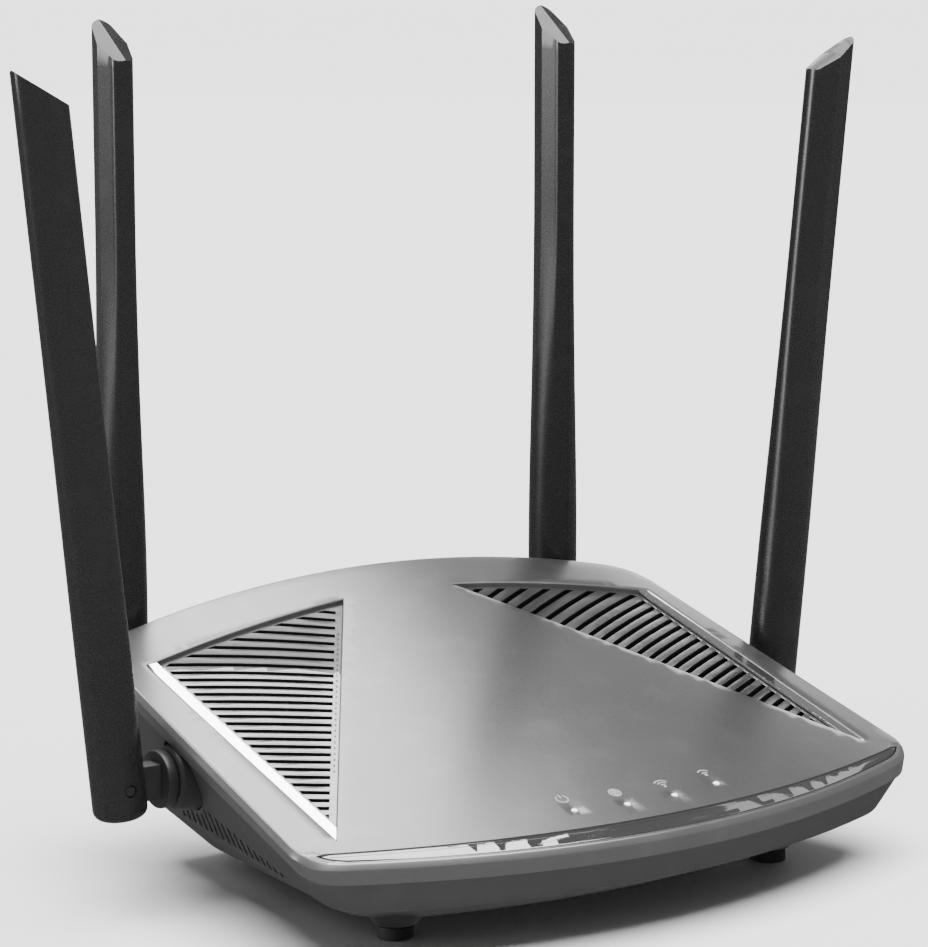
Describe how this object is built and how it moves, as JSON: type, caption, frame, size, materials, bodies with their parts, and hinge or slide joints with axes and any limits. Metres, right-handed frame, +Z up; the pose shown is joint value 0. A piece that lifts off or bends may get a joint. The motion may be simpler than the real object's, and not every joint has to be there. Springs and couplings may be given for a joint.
{
  "type": "wireless router",
  "caption": "Wedge-shaped wireless router with blade antennas on swivel-and-tilt hinges, louvred top grilles, indicator lights and rear network sockets.",
  "frame": {"origin": "on the table, under the middle of the whole object with its antennas upright", "axes": "+Z up, +X to the right side seen from the front, +Y towards the rear sockets; the indicator lights face -Y"},
  "size_m": [0.265, 0.16, 0.222],
  "materials": {
    "cover_satin": "satin charcoal",
    "base_matte": "fine-textured charcoal",
    "trim_gloss": "polished",
    "grille": "satin",
    "antenna_plastic": "satin",
    "hinge_plastic": "satin",
    "foot_rubber": "matte",
    "circuit_board": "solder mask",
    "steel": "plain",
    "aluminium": "extruded",
    "socket_plastic": "moulded",
    "button_plastic": "moulded",
    "indicator": "clear white",
    "lead": "cable jacket"
  },
  "bodies": {
    "housing": {"top_cover": "cover_satin", "base_shell": "base_matte", "front_trim": "trim_gloss", "grille_left": "grille", "grille_right": "grille", "accent_strip_left": "trim_gloss", "accent_strip_right": "trim_gloss", "main_board": "circuit_board", "processor_can": "steel", "heat_sink": "aluminium", "radio_can_left": "steel", "radio_can_right": "steel", "wan_port": "socket_plastic", "lan_port_1": "socket_plastic", "lan_port_2": "socket_plastic", "lan_port_3": "socket_plastic", "lan_port_4": "socket_plastic", "dc_jack": "socket_plastic", "rear_panel": "base_matte", "power_switch": "socket_plastic", "wps_switch": "steel", "foot_front_left": "foot_rubber", "foot_front_right": "foot_rubber", "foot_rear_left": "foot_rubber", "foot_rear_right": "foot_rubber", "housing_screw_1": "steel", "light_pipe_1": "indicator", "housing_screw_2": "steel", "light_pipe_2": "indicator", "housing_screw_3": "steel", "light_pipe_3": "indicator", "housing_screw_4": "steel", "light_pipe_4": "indicator", "socket_side_right": "hinge_plastic", "antenna_lead_side_right": "lead", "socket_side_left": "hinge_plastic", "antenna_lead_side_left": "lead", "socket_rear_right": "hinge_plastic", "antenna_lead_rear_right": "lead", "socket_rear_left": "hinge_plastic", "antenna_lead_rear_left": "lead"},
    "swivel_side_right": {"knuckle_side_right": "hinge_plastic"},
    "antenna_side_right": {"blade_side_right": "antenna_plastic", "hinge_pin_side_right": "steel"},
    "swivel_side_left": {"knuckle_side_left": "hinge_plastic"},
    "antenna_side_left": {"blade_side_left": "antenna_plastic", "hinge_pin_side_left": "steel"},
    "swivel_rear_right": {"knuckle_rear_right": "hinge_plastic"},
    "antenna_rear_right": {"blade_rear_right": "antenna_plastic", "hinge_pin_rear_right": "steel"},
    "swivel_rear_left": {"knuckle_rear_left": "hinge_plastic"},
    "antenna_rear_left": {"blade_rear_left": "antenna_plastic", "hinge_pin_rear_left": "steel"},
    "power_button": {"power_button": "button_plastic"},
    "wps_button": {"wps_button": "button_plastic"}
  },
  "joints": [
    {"name": "swivel_side_right", "type": "hinge", "parent": "housing", "child": "swivel_side_right", "pos_m": [0.10685, 0.015, 0.0336], "axis": [-1, 0, 0], "range_deg": [-90, 90]},
    {"name": "tilt_side_right", "type": "hinge", "parent": "swivel_side_right", "child": "antenna_side_right", "pos_m": [0.10685, 0.015, 0.0336], "axis": [0, 1, 0], "range_deg": [-5.9, 84.1]},
    {"name": "swivel_side_left", "type": "hinge", "parent": "housing", "child": "swivel_side_left", "pos_m": [-0.10685, 0.015, 0.0336], "axis": [-1, 0, 0], "range_deg": [-90, 90]},
    {"name": "tilt_side_left", "type": "hinge", "parent": "swivel_side_left", "child": "antenna_side_left", "pos_m": [-0.10685, 0.015, 0.0336], "axis": [0, -1, 0], "range_deg": [-5.9, 84.1]},
    {"name": "swivel_rear_right", "type": "hinge", "parent": "housing", "child": "swivel_rear_right", "pos_m": [0.072, 0.07299, 0.0398], "axis": [0, -1, 0], "range_deg": [-90, 40]},
    {"name": "tilt_rear_right", "type": "hinge", "parent": "swivel_rear_right", "child": "antenna_rear_right", "pos_m": [0.072, 0.07299, 0.0398], "axis": [-1, 0, 0], "range_deg": [0, 90]},
    {"name": "swivel_rear_left", "type": "hinge", "parent": "housing", "child": "swivel_rear_left", "pos_m": [-0.072, 0.07299, 0.0398], "axis": [0, 1, 0], "range_deg": [-90, 40]},
    {"name": "tilt_rear_left", "type": "hinge", "parent": "swivel_rear_left", "child": "antenna_rear_left", "pos_m": [-0.072, 0.07299, 0.0398], "axis": [-1, 0, 0], "range_deg": [0, 90]},
    {"name": "press_power_button", "type": "slide", "parent": "housing", "child": "power_button", "axis": [0, -1, 0], "range_m": [0, 0.0015], "stiffness_N_per_m": 400},
    {"name": "press_wps_button", "type": "slide", "parent": "housing", "child": "wps_button", "axis": [0, -1, 0], "range_m": [0, 0.0008], "stiffness_N_per_m": 500}
  ]
}
